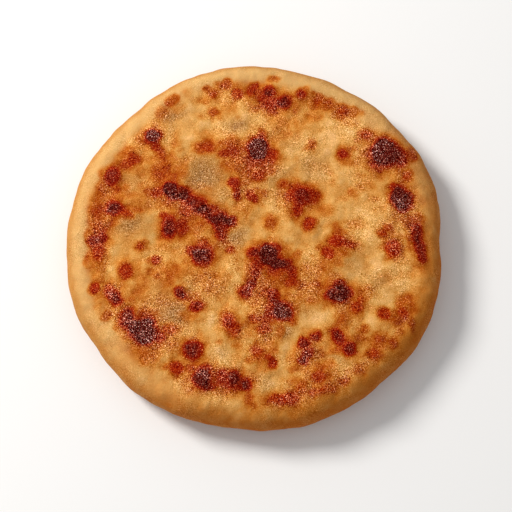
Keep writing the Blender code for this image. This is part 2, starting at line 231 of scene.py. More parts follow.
SPOTS_NEAR_RIGHT = (
    # the middle
    (-1, -7.4, 2.7, 2.8, 0, 0.70), (5.7, -8.5, 4.4, 4.4, 0, 0.95), (0.6, -7, 2.8, 2.4, 0, 0.70),
    (4.6, -4.8, 2.8, 2.1, 0, 0.84), (8.2, -5, 3, 2.6, 0, 0.78), (9.5, -11.8, 3.8, 2.8, 0, 0.88),
    (18, -8, 2.3, 2.2, 0, 0.46), (10, -19, 3, 3.6, 0, 0.48), (18, -27, 2.6, 2.6, 0, 0.30),
    (18.4, -21.2, 2.8, 2.2, 0, 0.50), (14, -25, 2.2, 1.8, 0, 0.34), (35.4, -11, 3, 2.2, 0, 0.42),
    (1.2, -12.8, 3.1, 2.9, 0, 0.70), (13.5, -12.6, 2.6, 2.9, 0, 0.78), (16, -16, 2.3, 4, 0, 0.68),
    (15.4, -19.6, 2.8, 2.8, 0, 0.60), (7.7, -15.8, 3.7, 2.1, 0, 0.54),
    (4.8, -20.4, 4.2, 2.9, 0, 0.38), (22, -15, 2.8, 2.4, 0, 0.30), (8, -26, 3, 3.4, 0, 0.76),
    (4, -25, 2.4, 2.6, 0, 0.54), (9.4, -29, 3, 2, 0, 0.76), (11.7, -32.8, 5, 4.6, 0, 0.90),
    (7, -32, 3, 4, 0, 0.70), (16.2, -36.7, 2.1, 1.9, 0, 0.54), (17.3, -32, 1.6, 3, 0, 0.36),
    (2.5, -30.5, 4.2, 3, 0, 0.34), (-0.4, -36, 3, 2.6, 0, 0.60), (4.6, -36.4, 3, 2.8, 0, 0.56),
    (3.4, -40.8, 3.4, 2.6, 0, 0.62),
    # inside, on the right
    (35.4, -1.8, 4.1, 3, 0, 0.72), (40.2, -2.9, 3.7, 1.9, -12, 0.66),
    (31.4, -7, 2.7, 3.4, 20, 0.74), (28.2, -4.6, 1.7, 1.3, 0, 0.46), (36.5, -6.6, 4, 2.6, 0, 0.48),
    (30, -13, 3.4, 4, 0, 0.42), (26, -23, 4, 3.8, 0, 0.35), (34, -18, 2.6, 2, 0, 0.26),
    (24.6, -27.6, 3, 2, 0, 0.37), (35.5, -25.3, 5.2, 4.1, 0, 0.92), (36, -21, 3, 2.6, 0, 0.80),
    (40.2, -24.4, 2.3, 2.4, 0, 0.74), (31.4, -26.2, 2.4, 2.3, 0, 0.74),
    (44.6, -24, 1.8, 2.4, 0, 0.43), (43, -31, 3.1, 3.5, -15, 0.64), (45.4, -27.6, 1.9, 2, 0, 0.58),
    (38, -35.5, 2.4, 2.4, 0, 0.54), (36.8, -30.6, 1.3, 1.9, 0, 0.34), (37, -39, 2.8, 1.8, 0, 0.44),
    (36, -34.4, 2.4, 2, 0, 0.38), (55, -15.6, 3, 2.4, 0, 0.22), (48.5, -24.5, 3.2, 3.2, 0, 0.40),
    # along the right edge
    (59.4, -5.2, 3.7, 4.6, 0, 0.78), (71, -4, 2.5, 4, 5, 0.78), (72, -8.6, 2.1, 3, 10, 0.74),
    (67, -3, 1.6, 3.4, 0, 0.34), (61.6, -30, 2, 2.2, 0, 0.52), (67, -38, 1.8, 4, 0, 0.50),
    (55, -33.6, 3.2, 3, 0, 0.72), (60, -36.6, 3, 2.1, 0, 0.42), (60, -33, 1.7, 2.2, 0, 0.47),
    (64, -27.6, 3.2, 2.8, 0, 0.48), (66.4, -29.6, 1.6, 2.2, 0, 0.44),
    (63.3, -33, 2.5, 2.5, 0, 0.64), (69.4, -32, 1.6, 1.6, 0, 0.30),
    # along the near edge
    (25.7, -43.3, 2.9, 2.1, 20, 0.78), (20.8, -46.6, 2.8, 2.6, 0, 0.84),
    (22.2, -51.2, 3.1, 2.1, 30, 0.80), (20.2, -54.4, 2.1, 2, 0, 0.80),
    (17.3, -57.2, 2.8, 1.4, 10, 0.42), (28, -50, 3.6, 2.8, 0, 0.32),
    (34.8, -43.6, 4.4, 2.9, -58, 0.80), (39.8, -49.2, 3.3, 3.4, 0, 0.87),
    (36, -49, 2.4, 2.2, 0, 0.56), (32, -55.4, 3, 2.4, 0, 0.38), (32.8, -49.8, 2, 1.8, 0, 0.42),
    (26, -67.4, 4, 2, 10, 0.54), (44.4, -44.2, 3, 2.6, 0, 0.47), (46.4, -40.2, 2.6, 2, 0, 0.52),
    (53.4, -44.4, 2.6, 2, 0, 0.50), (52.4, -46.4, 2.5, 1.8, 0, 0.43),
    (50, -50.6, 3.5, 2.6, 0, 0.60), (58.5, -46.4, 2.6, 2.4, 0, 0.42),
    (61.4, -41.6, 1.9, 1.7, 0, 0.38), (44.6, -57.4, 2.6, 2.8, 0, 0.44),
    (36, -57, 4.5, 3.6, 0, 0.26), (0.5, -50.6, 2.6, 3.2, 0, 0.60), (0.6, -46.8, 1.5, 1.5, 0, 0.46),
    (7.2, -55, 2.2, 2.8, 0, 0.72), (5.6, -52.6, 2, 1.8, 0, 0.62), (7.6, -49.8, 1.8, 1.7, 0, 0.34),
    (3, -53, 2.4, 2, 0, 0.48), (5, -46, 3.6, 2.8, 0, 0.28), (3, -50, 2, 1.8, 0, 0.48),
    (27, -60.8, 3.6, 2.8, 0, 0.63), (27.5, -57, 2.8, 2, 0, 0.48), (30, -66, 4.4, 2.2, 8, 0.55),
    (37, -62.4, 2.4, 2, 0, 0.46), (8.6, -70.2, 3.8, 2.8, 0, 0.58), (-2, -53.4, 2, 1.8, 0, 0.46),
    (14.4, -69.6, 4.9, 3, 0, 0.68), (11, -70, 6, 3, 0, 0.54), (20, -65.6, 3, 3.2, 0, 0.58),
    (16, -62.5, 2.2, 2, 0, 0.40),
)

TOP_SPOTS = SPOTS_FAR_LEFT + SPOTS_FAR_RIGHT + SPOTS_NEAR_LEFT + SPOTS_NEAR_RIGHT

# Orange-brown ground that the groups of spots stand in
BROWN_GROUND = (
    (4.2, 64.8, 8.6, 5.8, 0, 0.48), (-14.4, 68.4, 9.6, 3, 15, 0.34), (27, 62, 8, 3.6, -15, 0.40),
    (39, 58, 6, 3, -10, 0.38), (-3, 36, 12, 7, 0, 0.38), (1.5, 38.5, 7.2, 9, 0, 0.50),
    (-7, 32, 6, 4.4, 0, 0.42), (-4, 27.5, 4.4, 3.6, 0, 0.38), (-56.4, 35.6, 5.8, 4.2, 35, 0.42),
    (-65, 23, 4, 6, -25, 0.40), (-67.5, 11, 4.8, 11, 5, 0.41), (-41.2, 29, 5, 7, 0, 0.44),
    (-36, 26.5, 3.4, 3, 0, 0.40), (-57.5, 12, 6, 3.2, -30, 0.44), (-26, 15, 16, 4.4, -33, 0.52),
    (-38, 14.4, 5, 2.8, 0, 0.40), (-30, 10, 5, 3, 0, 0.42), (-26, 5, 4.4, 4.6, 0, 0.28),
    (-23, -7, 6.2, 6.4, 0, 0.42), (-22.5, -8, 5.2, 5.2, 0, 0.74), (-34, 5, 6.4, 6.6, 0, 0.36),
    (-34, -15, 6.5, 4.4, 0, 0.30), (-24, -16, 6, 3, 0, 0.28), (20, 19, 7.4, 6.2, 0, 0.54),
    (18, 12, 3.2, 4.2, 0, 0.44), (36, -2, 6, 5, 0, 0.40), (26, 12, 3.6, 4, 0, 0.24),
    (5, -9.6, 9.6, 7, -15, 0.56), (14, -16.4, 4.2, 5.4, 0, 0.52), (-2, -17, 2.8, 6.2, -15, 0.42),
    (6, -24, 6, 7, 0, 0.40), (10, -32, 6.6, 6.2, 0, 0.44), (2, -37, 5.6, 5.2, 0, 0.38),
    (58, 37, 9.6, 9, 0, 0.36), (64, 18, 6, 8.4, 0, 0.38), (65, 28, 4.6, 4.6, 0, 0.30),
    (59, -5, 5, 5, 0, 0.34), (57, 3, 4, 2.8, 30, 0.32), (70, -2, 3.8, 11, 5, 0.40),
    (36, -25, 8.4, 6, 0, 0.40), (43.4, -31, 4.8, 6.2, -15, 0.38), (37, -37.4, 3.6, 3.4, 0, 0.36),
    (57, -35, 5.4, 4.4, 0, 0.30), (64.5, -30, 4.4, 6, 0, 0.36), (21.5, -51, 4.6, 7.2, 25, 0.32),
    (25.4, -44.4, 4, 3, 20, 0.32), (37, -46, 5, 8, 30, 0.36), (46, -44, 5.6, 4.6, 0, 0.28),
    (53, -45, 4.6, 5, 0, 0.32), (50, -51, 5, 3.6, 0, 0.34), (28, -60, 6.4, 4.6, 0, 0.38),
    (30, -65, 5.6, 3.6, 10, 0.38), (12, -70, 9, 3.4, 0, 0.40), (4, -52.5, 7, 4.8, -35, 0.32),
    (-47.6, -40.2, 9, 7.2, -30, 0.42), (-45, -52, 8, 4.4, -20, 0.32),
    (-61.5, -25, 6, 4.2, -45, 0.40), (-66, -27, 4, 8, 0, 0.24), (-67.4, -11, 4.2, 11, 0, 0.36),
    (-55, -15, 4.2, 4.8, 0, 0.34), (-26, -49.8, 5.6, 5.4, 0, 0.34), (-32, -57, 4.4, 3.6, 0, 0.34),
    (-14.6, -61.6, 12, 5, -5, 0.45), (-10.5, -38, 5, 6.8, 10, 0.38),
    (-4, -41, 6.6, 4.6, -20, 0.32), (-28.5, -27.5, 6.6, 3.4, -40, 0.32),
)
SPOTS_MIDDLE = (0.5, -0.5)  # the place on the bread that all spots' places are counted from
BLEND = 5.0  # how sharply the strongest spot wins where spots overlap

# The golden glow round a spot: how far it reaches past it, in millimetres and in half-widths
HALO = 0.8
HALO_SHARE = 0.32

# Pale, greyish places in the same form: partly a thinner crust where the filling shows through, partly
# painted shade in the dough's hollows
GREY_AND_SHADED_SPOTS = (
    (-22, 30, 6.5, 5.5, 0, 0.9), (-22.5, 26, 5, 4, 0, 1.0), (-53, 25, 5, 4, 0, 0.5),
    (-54.5, 6, 6, 4.4, 10, 0.8), (-44, -24, 7, 5, 0, 0.4), (15, 44.4, 3, 3, 0, 0.5),
    (11, -40, 3, 3, 0, 0.4), (-35, 56.4, 5, 2.6, 25, 0.8), (-31.6, 55.4, 3.4, 2, -30, 0.4),
    (-7.4, 51.2, 3.4, 2.4, 30, 1.0), (-7.5, 0.6, 4.5, 2.6, 40, 0.9), (-6, -2.4, 2.4, 2, 0, 0.8),
    (9, 27, 5, 3, 30, 0.6), (27, 31, 6, 5, 0, 0.4), (42, -12, 5, 4, 0, 0.4),
    (55, -20.5, 4, 2.4, 0, 0.4), (-15, 20, 6, 4, 0, 0.4), (-38, -26, 6, 4, 0, 0.3),
    (-33, -34, 5.5, 3.5, 0, 1.0), (12.4, -41.6, 3.4, 2.4, 35, 0.9), (-15.4, -48.6, 3, 3, 0, 0.3),
    (2.5, -63, 5, 4, 0, 0.4), (33.6, -52.6, 3.4, 1.6, -20, 0.7), (22, -33.2, 3, 2.4, 0, 0.5),
)

# Raised places that stayed creamy, in the same form
PALE_SPOTS = (
    (38, 47.5, 6.5, 3.4, 35, 0.78), (18, 40.6, 5, 4, 0, 0.6), (32, 40, 5, 3, 0, 0.5),
    (-5.5, 57, 4.5, 2.2, -50, 0.8), (-22, 53, 6, 3.5, 0, 0.35), (31, 25, 4, 4, 0, 0.5),
    (28, 49.6, 4.2, 3.2, 0, 0.38), (-6.4, 45.6, 3.3, 2.2, 0, 1.0), (51, 3.5, 3.2, 8, 5, 0.8),
    (54.4, -10.6, 4, 4.6, 20, 1.0), (56, -27.6, 4, 4.2, 30, 0.9), (49.5, -34.5, 2.6, 5, 0, 0.8),
    (16, -44, 6.4, 2, 54, 0.9), (11.2, -55.5, 8, 2.5, 82, 0.75), (7.5, -62.8, 4.2, 3, 0, 0.7),
    (27, -35, 8, 4, 0, 0.55), (-18.5, -37.5, 4.4, 5, 0, 1.0), (-18, -51, 3.6, 4.6, 0, 0.6),
    (-11, -54, 2.6, 2.6, 0, 0.3), (-13, -23, 3, 2.4, 0, 0.2), (-12, -11, 4, 3, 0, 0.4),
    (-60.6, -8.6, 2, 2.4, 0, 0.6), (-62, -14.6, 3, 3.4, 0, 0.7), (-60.2, -35.4, 1.6, 1.8, 0, 0.6),
    (-63.6, -29, 1.8, 1.8, 0, 0.8), (-69.6, -15.4, 1.8, 1.6, 0, 0.6),
    (-61.8, -40.4, 1.4, 2, 0, 0.8), (-33.6, 61.6, 2, 1.8, 0, 0.4), (-40.4, 48, 1.4, 3, 10, 0.6),
    (46, 50.6, 1.6, 1.6, 0, 0.6), (27.6, 44.8, 3, 3.2, 0, 1.0), (50.6, 42.4, 2.4, 1.8, 40, 0.4),
    (-8, 33, 2, 1.4, 0, 0.5), (39, 20.4, 3, 2.4, 0, 0.25), (57, -18, 2.4, 2, 0, 0.3),
    (18, -42.6, 3, 2, 20, 1.0), (-2.6, -57.4, 3.4, 2.2, 0, 0.6), (-10.6, -50.4, 1.8, 1.9, 0, 0.45),
    (-7.4, -33.8, 1.6, 2.2, 0, 0.6), (-45.4, 6.4, 2.5, 2.7, 0, 0.7),
    (-42.4, 12.6, 1.8, 2.2, 0, 0.5), (-12.4, 50.6, 2.2, 2.4, 0, 0.6),
    (-30.4, 44, 3.6, 2.4, 0, 0.9), (-48.4, 41, 2.4, 2, 0, 0.4), (7.4, 44, 5.4, 1.5, -50, 0.6),
    (-27, -1.4, 2, 1.6, 0, 0.6), (22, 60.4, 1.8, 1.8, 0, 0.6), (42.4, 36.8, 1.4, 1.4, 0, 0.6),
    (40.4, 28, 3, 3.4, 0, 0.6), (32.4, 36, 2.4, 3, 0, 0.6), (46, 15, 3, 3, 0, 0.35),
    (54.4, 11, 2.6, 4, 0, 0.5), (44.6, 0.4, 4, 2, 0, 0.5), (22, 0, 3, 2.4, 0, 0.6),
    (-9, -22, 1.8, 3, 0, 0.5), (-28, -24, 1.6, 1.3, 0, 0.4), (-55.6, -45, 2, 2, 0, 0.5),
    (-39, -55, 2.4, 2.2, 0, 1.0), (57, -40.4, 2, 1.8, 0, 0.8), (65.4, -6, 1.4, 2.4, 0, 0.5),
    (46.6, 21, 2.4, 1.8, 0, 0.5), (-25, -43, 2.4, 2, 0, 1.0), (-2, -43.2, 2.6, 2, 0, 0.9),
    (-30.6, -52.4, 2.4, 2.2, 0, 0.6), (39.4, -31, 1.4, 1.7, 0, 0.8), (-52, -10.6, 1.8, 2, 0, 0.4),
    (49.6, -42, 1.7, 1.7, 0, 0.5), (25, -56, 2.2, 1.8, 0, 0.6), (1.4, -22.6, 1.6, 1.2, 0, 0.5),
    (45, -48.4, 1.8, 2.2, 0, 0.8), (-31, -63.6, 2.2, 2.3, 0, 0.6), (13, -60.4, 4, 2.2, 0, 0.8),
    (60.8, -24, 2.4, 2, 0, 0.7), (13.8, -1.4, 2.2, 1.8, 0, 0.6), (0, -2, 2, 1.4, 0, 0.6),
    (-24.4, 66.6, 2, 1.4, 0, 0.8), (-14.2, 66.6, 1.4, 1.6, 0, 0.8), (57.4, 47.6, 4, 1.8, -38, 0.4),
    (13, 68, 2.4, 1.4, 0, 0.6), (-58.6, -33, 1.4, 1.1, 0, 0.8), (4, 0, 7, 2, -5, 0.7),
    (-4, -1.5, 2.4, 2.6, 0, 0.7), (-43.6, 1.2, 2.5, 4.2, 0, 0.9), (20, 71, 6, 2, -10, 0.5),
    (-38, -8, 6, 3.4, 0, 0.35), (10.8, 17, 2.2, 3, 0, 0.8), (57.4, 26.6, 2, 2.4, 0, 0.5),
    (13.8, 36.2, 2.2, 3, 20, 0.9), (28.6, 1.6, 3.2, 5, 0, 1.0), (-2.6, 49, 3, 3.8, -30, 1.0),
    (13, 69.4, 3.4, 1.4, 0, 0.8), (38.2, -54, 3, 2.7, 0, 1.0), (42, -35.8, 2.8, 2.6, 0, 0.9),
    (-30, -17.4, 2, 2, 0, 0.4), (24, 26, 3.2, 2.4, 0, 0.9), (30.6, 18, 1.6, 3, 0, 0.7),
    (48, 31.6, 2, 2.4, 0, 0.6), (-2, 61, 2, 2, 0, 0.8), (-0.4, 52.6, 2.8, 4, 0, 0.8),
    (-14.6, -31.4, 3, 2.4, 0, 0.9), (29.4, -45.4, 1.8, 3, 0, 0.7), (41, -19.6, 2.6, 1.8, 0, 0.6),
    (-6, -8, 1.6, 4, 10, 0.7),
)

# How spots are drawn
EDGE_DROP = 0.55  # at its ellipse's edge, a spot's strength is divided by 1 plus this
SPOT_REACH = 2.6  # how far out a spot counts, as a multiple of its longer half
BROWNED_EDGES = (3.0, 6.5)  # how hard the edge of the faintest spot is, and of the strongest
GLOW_EDGES = (2.6, 2.6)
PATCH_EDGES = (3.0, 3.0)

# What makes their edges ragged: the noise's size in metres, and how far it shifts them in millimetres
RAGGED_EDGES = ((0.0070, 0.5), (0.0032, 0.55), (0.0017, 0.4))
RAGGED_OFFSETS = (7.3, 12.4)

# Browned spots of the underside, drawn at random, in millimetres
UNDER_SEED = 11
UNDER_SPOTS = 130
UNDER_SQUARE = 74
UNDER_REACH = 73
UNDER_SIZES = (1.6, 7.5)
UNDER_NARROWNESS = (0.55, 1)
UNDER_STRENGTHS = (0.4, 0.95)

# How far a face has to point up or down for the spots of the top, the curds or the underside to show
UP_FADE = (0.15, 0.70)
TOP_FADE = (0.55, 0.95)
DOWN_FADE = (0.50, 0.95)

# The rim: darker on one side, away from the lamp, partly toasting and partly painted shade, and creamy
# on the other
TOASTED_AND_SHADED_SIDE = math.radians(-54)
TOASTED_AND_SHADED_TURN = (-0.60, 0.90)  # the cosines of the turns away from that side, between which it fades
TOAST_AND_SHADE_BAND = (70, 83)  # how far out it sets in and is full, in millimetres
CREAM_BAND = (68, 74)
# The foot of the side is darker: partly toasting where it met the pan, partly painted shade
FOOT_TOAST_AND_SHADE_BAND = (0.001, 0.008)  # the heights between which the browner foot of the side fades

# Fine relief of the crust: crumbly curds and dents on top, long creases round the side, and crags
# on the browned spots
CURD_HEIGHT = 0.00034
CURD_SIZE = 0.0046
SMALL_CURD_SIZE = 0.0024
SIDE_CURDS = 0.3
DENT_DEPTH = 0.00060
DENT_SIZE = 0.0085
DENT_LEVEL = 0.2
FOLD_HEIGHT = 0.00030
CREASE_LENGTH = 0.016
CREASE_WIDTH = 0.0036
CRAG_HEIGHT = 0.00014
CRAG_UNEVENNESS = 0.00006
CRAG_SIZE = 0.0019
CURD_OFFSET, SMALL_CURD_OFFSET, DENT_OFFSET, CRAG_OFFSET = 2.0, 4.0, 6.0, 9.0  # places in the noise

# Mesh
TOP_CELLS = 228
EDGE_ROWS = 28
UNDER_CELLS = 114
UNDER_SHARE = 0.975  # how far out the underside's own grid reaches

# Camera: as far above and away as the bread was seen from
CAMERA_LENS = 100.0
CAMERA_ELEVATION = math.radians(75)
CAMERA_DISTANCE = 0.622
CAMERA_AIM = Vector((0.0009, -0.0062, 0.0110))
CAMERA_CLIP = (0.05, 20.0)

# Studio
TABLE_HALF_WIDTH = 3.0
TABLE_COLOUR = (0.90, 0.90, 0.90, 1.0)
TABLE_ROUGHNESS = 0.9
LAMP_PLACE = Vector((-0.85, 0.55, 0.85))
LAMP_SIZE = 0.45
LAMP_WATTS = 17.5
LAMP_COLOUR = (1.0, 0.97, 0.93)
SKY_COLOUR = (1.0, 1.0, 1.0, 1.0)
SKY_STRENGTH = 0.45


# ---------------------------------------------------------------- form


def outline_radius(angle):
    """The distance from the middle to the widest line of the side, in this direction."""
    radius = RADIUS
    for count, height, crest in OUTLINE_WAVES:
        radius += height * math.cos(count * (angle - math.radians(crest)))
    return radius


def disc_place(u, v):
    """Where a point of the square from -1 to 1 lies on the unit disc: its radius and its angle."""
    if u == 0 and v == 0:
        return 0.0, 0.0
    if abs(u) > abs(v):
        return abs(u), math.pi / 4 * v / u + (math.pi if u < 0 else 0)
    return abs(v), math.pi / 2 - math.pi / 4 * u / v + (math.pi if v < 0 else 0)


def turned_out(distance, angle, height):
    return Vector((distance * math.cos(angle), distance * math.sin(angle), height))


def top_point(share, angle):
    """A point of the plain top: share is 0 in the middle and 1 where the side begins."""
    distance = share * (outline_radius(angle) - SHOULDER_WIDTH)
    return turned_out(distance, angle, RIM_HEIGHT + DOME_RISE * (1 - share**2))


def edge_point(share, angle):
    """A point of the plain side: share is 0 at the top, 1 at the edge of the underside."""
    turn = math.pi * share
    across = math.sin(turn)
    up = math.cos(turn)
    if up > 0:
        power, width, drop = SHOULDER_POWER, SHOULDER_WIDTH, RIM_HEIGHT - BELLY_HEIGHT
    else:
        power, width, drop = HEEL_POWER, HEEL_WIDTH, BELLY_HEIGHT
    distance = outline_radius(angle) - width * (1 - across ** (2 / power))
    return turned_out(distance, angle, BELLY_HEIGHT + math.copysign(drop * abs(up) ** (2 / power), up))


def under_point(share, angle):
    """A point of the underside's own grid: share is 0 in the middle and 1 at the grid's edge."""
    return turned_out(UNDER_SHARE * share * (outline_radius(angle) - HEEL_WIDTH), angle, 0.0)


def shape_top(bread):
    bmesh.ops.create_grid(bread, x_segments=TOP_CELLS, y_segments=TOP_CELLS, size=1.0)
    for vertex in bread.verts:
        vertex.co = top_point(*disc_place(vertex.co.x, vertex.co.y))


def shape_edge(bread):
    """Draws the top's edge out and down in rows."""
    lip = [edge for edge in bread.edges if edge.is_boundary]
    for row in range(1, EDGE_ROWS + 1):
        drawn = bmesh.ops.extrude_edge_only(bread, edges=lip)["geom"]
        for vertex in (item for item in drawn if isinstance(item, bmesh.types.BMVert)):
            vertex.co = edge_point(row / EDGE_ROWS, math.atan2(vertex.co.y, vertex.co.x))
        lip = [item for item in drawn if isinstance(item, bmesh.types.BMEdge) and item.is_boundary]


def shape_underside(bread):
    """A grid a little smaller than the opening below, bridged to the opening's edge."""
    cells = {"x_segments": UNDER_CELLS, "y_segments": UNDER_CELLS}
    under = bmesh.ops.create_grid(bread, size=1.0, **cells)["verts"]
    for vertex in under:
        vertex.co = under_point(*disc_place(vertex.co.x, vertex.co.y))
    gap = [edge for edge in bread.edges if edge.is_boundary]
    # the grid waits below while the gap is bridged, which settles which way round the bridge runs
    bmesh.ops.translate(bread, verts=under, vec=(0.0, 0.0, -BELLY_HEIGHT))
    bmesh.ops.bridge_loops(bread, edges=gap)
    bmesh.ops.translate(bread, verts=under, vec=(0.0, 0.0, BELLY_HEIGHT))


def plain_bread():
    """The bread's plain form as one closed skin of fine cells."""
    bread = bmesh.new()
    shape_top(bread)
    shape_edge(bread)
    shape_underside(bread)
    bmesh.ops.recalc_face_normals(bread, faces=bread.faces)
    return bread


def mound(point, spots):
    """The sum of round, smooth-edged spots at this point, in metres."""
    total = 0.0
    for x, y, half_width, rise in spots:
        away = math.hypot(point.x / MM - x, point.y / MM - y) / half_width
        if away < 1:
            total += rise * MM * (1 - away**2) ** 2
    return total


def relief(point):
    """How far the lumps of the dough stand out from the plain form at this point."""
    height = SWELL_HEIGHT * noise.noise(point / SWELL_SIZE)
    height += LUMP_HEIGHT * noise.noise(point / LUMP_SIZE)
    height += RIPPLE_HEIGHT * noise.noise(point / RIPPLE_SIZE)
    on_top = min(1.0, max(0.0, (point.z - BELLY_HEIGHT) / (RIM_HEIGHT - BELLY_HEIGHT)))
    height += on_top * (mound(point, BLISTERS) - mound(point, HOLLOWS))
    return height * min(1.0, point.z / FLAT_BELOW)


# ---------------------------------------------------------------- browning


def smooth(value, low, high):
    """0 up to low, 1 from high on, and a smooth rise between."""
    share = np.clip((value - low) / (high - low), 0, 1)
    return share * share * (3 - 2 * share)


def ripple(points, size, offset):
    """Smooth noise of that size at each point, from -1 to 1."""
    shift = Vector((offset, offset, offset))
    return np.array([noise.noise(Vector(point) / size + shift) for point in points])


def warped(points):
    """The points' places on the bread in millimetres, shifted a little this way and that, so that
    round spots get ragged edges."""
    shift = np.zeros((len(points), 2))
    for size, reach in RAGGED_EDGES:
        for axis, offset in enumerate(RAGGED_OFFSETS):
            shift[:, axis] += reach * ripple(points, size, offset)
    return points[:, :2] / MM - SPOTS_MIDDLE + shift


def spotted(places, spots, edges):
    """How strongly the spots mark each place. A spot fades out past its ellipse, and the stronger it
    is, the closer its edge is to the second hardness of the edges."""
    softest, hardest = edges
    total = np.zeros(len(places))
    for x, y, half_length, half_width, turn, strength in spots:
        reach = SPOT_REACH * max(half_length, half_width)
        near = np.flatnonzero(np.hypot(*(places - (x, y)).T) < reach)
        along, across = (places[near] - (x, y)).T
        cos, sin = math.cos(math.radians(turn)), math.sin(math.radians(turn))
        lengthwise = (along * cos + across * sin) / half_length
        away = np.hypot(lengthwise, (across * cos - along * sin) / half_width)
        hardness = softest + (hardest - softest) * strength
        total[near] += (strength / (1 + EDGE_DROP * away**hardness)) ** BLEND
    return total ** (1 / BLEND)


def underside_spots():
    """Where the pan browned the underside, which lay flat on it: spots of every size, all over."""
    draw = random.Random(UNDER_SEED)
    spots = []
    while len(spots) < UNDER_SPOTS:
        x, y = draw.uniform(-UNDER_SQUARE, UNDER_SQUARE), draw.uniform(-UNDER_SQUARE, UNDER_SQUARE)
        size = draw.uniform(*UNDER_SIZES)
        if math.hypot(x, y) < UNDER_REACH:
            width = size * draw.uniform(*UNDER_NARROWNESS)
            spots.append((x, y, size, width, draw.uniform(0, 180), draw.uniform(*UNDER_STRENGTHS)))
    return spots


def glowing(spots):
    """The spots, widened to the golden glow that each is set in."""
    wide = []
    for x, y, half_length, half_width, turn, strength in spots:
        glow = HALO + HALO_SHARE * half_width
        wide.append((x, y, half_length + glow, half_width + glow, turn, strength))
    return wide


def on_both_faces(points, normals, top_spots, under_spots, edges):
    """How strongly the top's spots mark the top, and the underside's the underside."""
    places = warped(points)
    top = spotted(places, top_spots, edges)
    under = spotted(places, under_spots, edges)
    return top * smooth(normals[:, 2], *UP_FADE) + under * smooth(-normals[:, 2], *DOWN_FADE)


def browning_of(points, normals):
    return on_both_faces(points, normals, TOP_SPOTS + BROWN_GROUND, underside_spots(), BROWNED_EDGES)


def gold_of(points, normals):
    return on_both_faces(points, normals, glowing(TOP_SPOTS), glowing(underside_spots()), GLOW_EDGES)


def rim_tones(points):
    """How much toasting and painted shade darken each place of the rim and the side, and how creamy it
    is.
    """
    outwards = np.hypot(points[:, 0], points[:, 1]) / MM
    angles = np.arctan2(points[:, 1], points[:, 0])
    toasted_and_shaded = smooth(np.cos(angles - TOASTED_AND_SHADED_SIDE), *TOASTED_AND_SHADED_TURN)
    return toasted_and_shaded * smooth(outwards, *TOAST_AND_SHADE_BAND), (1 - toasted_and_shaded) * smooth(outwards, *CREAM_BAND)


def foot_toast_and_shade(points, normals):
    """How near each place of the side is to its foot; the underside has none of it."""
    return (1 - smooth(points[:, 2], *FOOT_TOAST_AND_SHADE_BAND)) * (1 - smooth(-normals[:, 2], *DOWN_FADE))


# ---------------------------------------------------------------- fine relief


def creases(points):
    """Long, shallow folds of the smooth side, which run round it."""
    outwards = np.hypot(points[:, 0], points[:, 1])
    around = points[:, :2] / outwards[:, None].clip(1e-6) * RADIUS / CREASE_LENGTH
    across = (outwards - points[:, 2]) / CREASE_WIDTH
    return np.array([noise.noise(Vector((*place, row))) for place, row in zip(around, across)])


def curds_of(points):
    small = ripple(points, SMALL_CURD_SIZE, SMALL_CURD_OFFSET)
    return ripple(points, CURD_SIZE, CURD_OFFSET) + 0.5 * small


def fine_relief(points, on_top, curds, browned):
    """How far the crust stands out from the lumps of the dough at each point."""
    crust = CURD_HEIGHT * curds * (SIDE_CURDS + (1 - SIDE_CURDS) * on_top)
    crust += FOLD_HEIGHT * creases(points) * (1 - on_top)
    crust += DENT_DEPTH * (abs(ripple(points, DENT_SIZE, DENT_OFFSET)) - DENT_LEVEL) * on_top
    crags = browned * (CRAG_HEIGHT + CRAG_UNEVENNESS * ripple(points, CRAG_SIZE, CRAG_OFFSET))
    return (crust + crags) * smooth(points[:, 2], 0.0, FLAT_BELOW)


# ---------------------------------------------------------------- bread


def vectors_of(items, name):
    """The items' vectors of that name, a row of three numbers for each."""
    values = np.empty(len(items) * 3, np.float32)
    items.foreach_get(name, values)
    return values.reshape(-1, 3).astype(float)


def store(mesh, name, values):
    attribute = mesh.attributes.new(name, "FLOAT", "POINT")
    attribute.data.foreach_set("value", values.astype(np.float32))


def link_new(name, data):
    thing = bpy.data.objects.new(name, data)
    bpy.context.scene.collection.objects.link(thing)
    return thing


def lumpy_mesh():
    """The bread's skin with the lumps of the dough, but without its fine relief."""
    bread = plain_bread()
    bread.normal_update()
    for vertex in bread.verts:
        vertex.co += vertex.normal * relief(vertex.co)
    mesh = bpy.data.meshes.new("paratha_crust")
    bread.to_mesh(mesh)
    bread.free()
    return mesh


def finish_crust(mesh):
    """Adds the fine relief, and stores what the material reads at each point."""
    points = vectors_of(mesh.vertices, "co")
    middle = (np.array(LOW) + np.array(HIGH))[:2] / 2
    points[:, :2] += middle - (points.min(0) + points.max(0))[:2] / 2
    normals = vectors_of(mesh.vertex_normals, "vector")
    browned = browning_of(points, normals)
    on_top = smooth(normals[:, 2], *TOP_FADE)
    curds = curds_of(points)
    points += normals * fine_relief(points, on_top, curds, browned)[:, None]
    points[:, 2] = np.maximum(points[:, 2], 0.0)
    mesh.vertices.foreach_set("co", points.astype(np.float32).ravel())

    places = warped(points)
    facing_up = smooth(normals[:, 2], *UP_FADE)
    toast_and_shade, cream = rim_tones(points)
    store(mesh, "browning", browned)
    store(mesh, "gold", gold_of(points, normals))
    store(mesh, "thin_and_hollow_shade", spotted(places, GREY_AND_SHADED_SPOTS, PATCH_EDGES) * facing_up)
    store(mesh, "pale", spotted(places, PALE_SPOTS, PATCH_EDGES) * facing_up)
    store(mesh, "toast_and_shade", toast_and_shade)
    store(mesh, "cream", cream)
    store(mesh, "curds", curds)
    store(mesh, "low", foot_toast_and_shade(points, normals))
    store(mesh, "top", on_top)
    mesh.update()
    mesh.shade_smooth()


